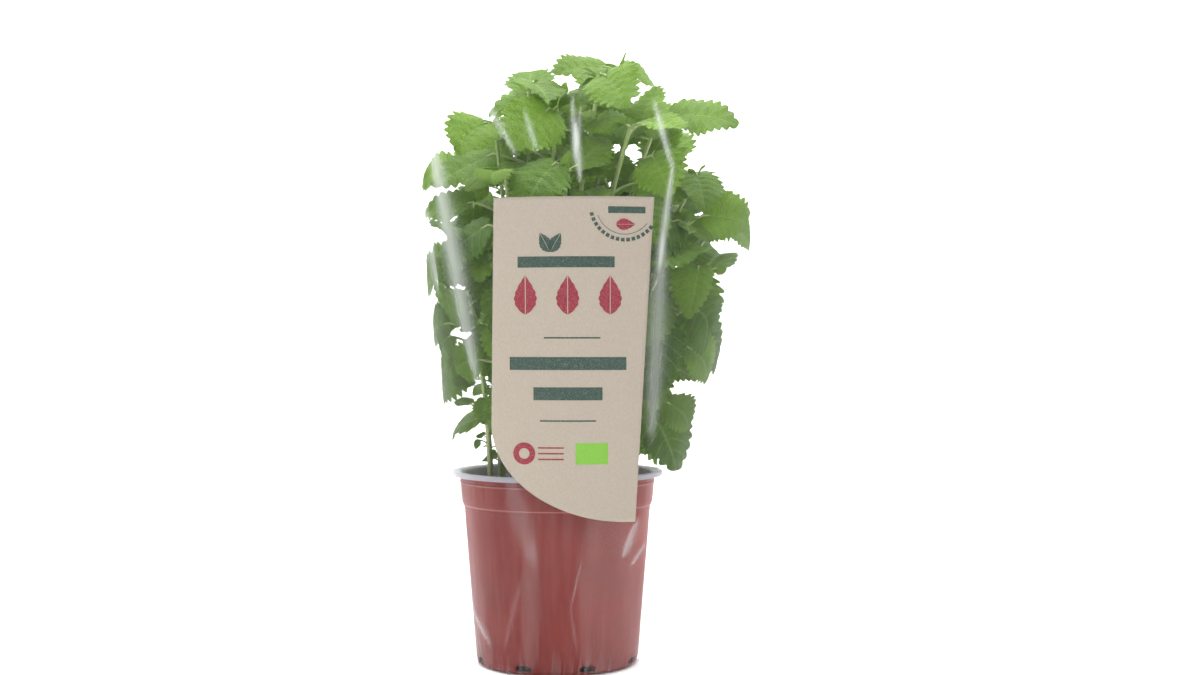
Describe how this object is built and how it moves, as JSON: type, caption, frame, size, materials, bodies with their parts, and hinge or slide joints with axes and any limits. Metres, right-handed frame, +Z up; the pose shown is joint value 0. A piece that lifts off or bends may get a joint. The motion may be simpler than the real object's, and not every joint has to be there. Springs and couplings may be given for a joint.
{
  "type": "potted lemon balm plant",
  "caption": "Bushy herb with square stems and toothed oval leaves, in soil in a thin round plastic pot, inside a clear cone-shaped film sleeve with a paper label.",
  "frame": {"origin": "centre of the flat base of the pot, on the surface that it stands on", "axes": "+Z up through the pot and the plant, -Y towards the front where the label is, +X to the right seen from the front"},
  "size_m": [0.2289, 0.179, 0.325],
  "materials": {
    "terracotta_plastic": "satin terracotta thermoformed plastic, lavender grey inside",
    "soil": "dark moist peat crumbs",
    "leaf_green": "matte, slightly hairy living leaf, light green",
    "clear_film": "clear glossy polypropylene film",
    "label_paper": null
  },
  "bodies": {
    "root": {"pot": "terracotta_plastic", "soil": "soil", "sleeve": "clear_film", "label": "label_paper", "leafy_stem_01": "leaf_green", "leafy_stem_02": "leaf_green", "leafy_stem_03": "leaf_green", "leafy_stem_04": "leaf_green", "leafy_stem_05": "leaf_green", "leafy_stem_06": "leaf_green", "leafy_stem_07": "leaf_green", "leafy_stem_08": "leaf_green", "leafy_stem_09": "leaf_green", "leafy_stem_10": "leaf_green", "leafy_stem_11": "leaf_green", "leafy_stem_12": "leaf_green", "leafy_stem_13": "leaf_green", "leafy_stem_14": "leaf_green", "leafy_stem_15": "leaf_green", "leafy_stem_16": "leaf_green", "leafy_stem_17": "leaf_green", "leafy_stem_18": "leaf_green", "leafy_stem_19": "leaf_green", "leafy_stem_20": "leaf_green", "leafy_stem_21": "leaf_green", "leafy_stem_22": "leaf_green", "leafy_stem_23": "leaf_green", "leafy_stem_24": "leaf_green", "leafy_stem_25": "leaf_green", "leafy_stem_26": "leaf_green", "leafy_stem_27": "leaf_green"}
  },
  "joints": []
}
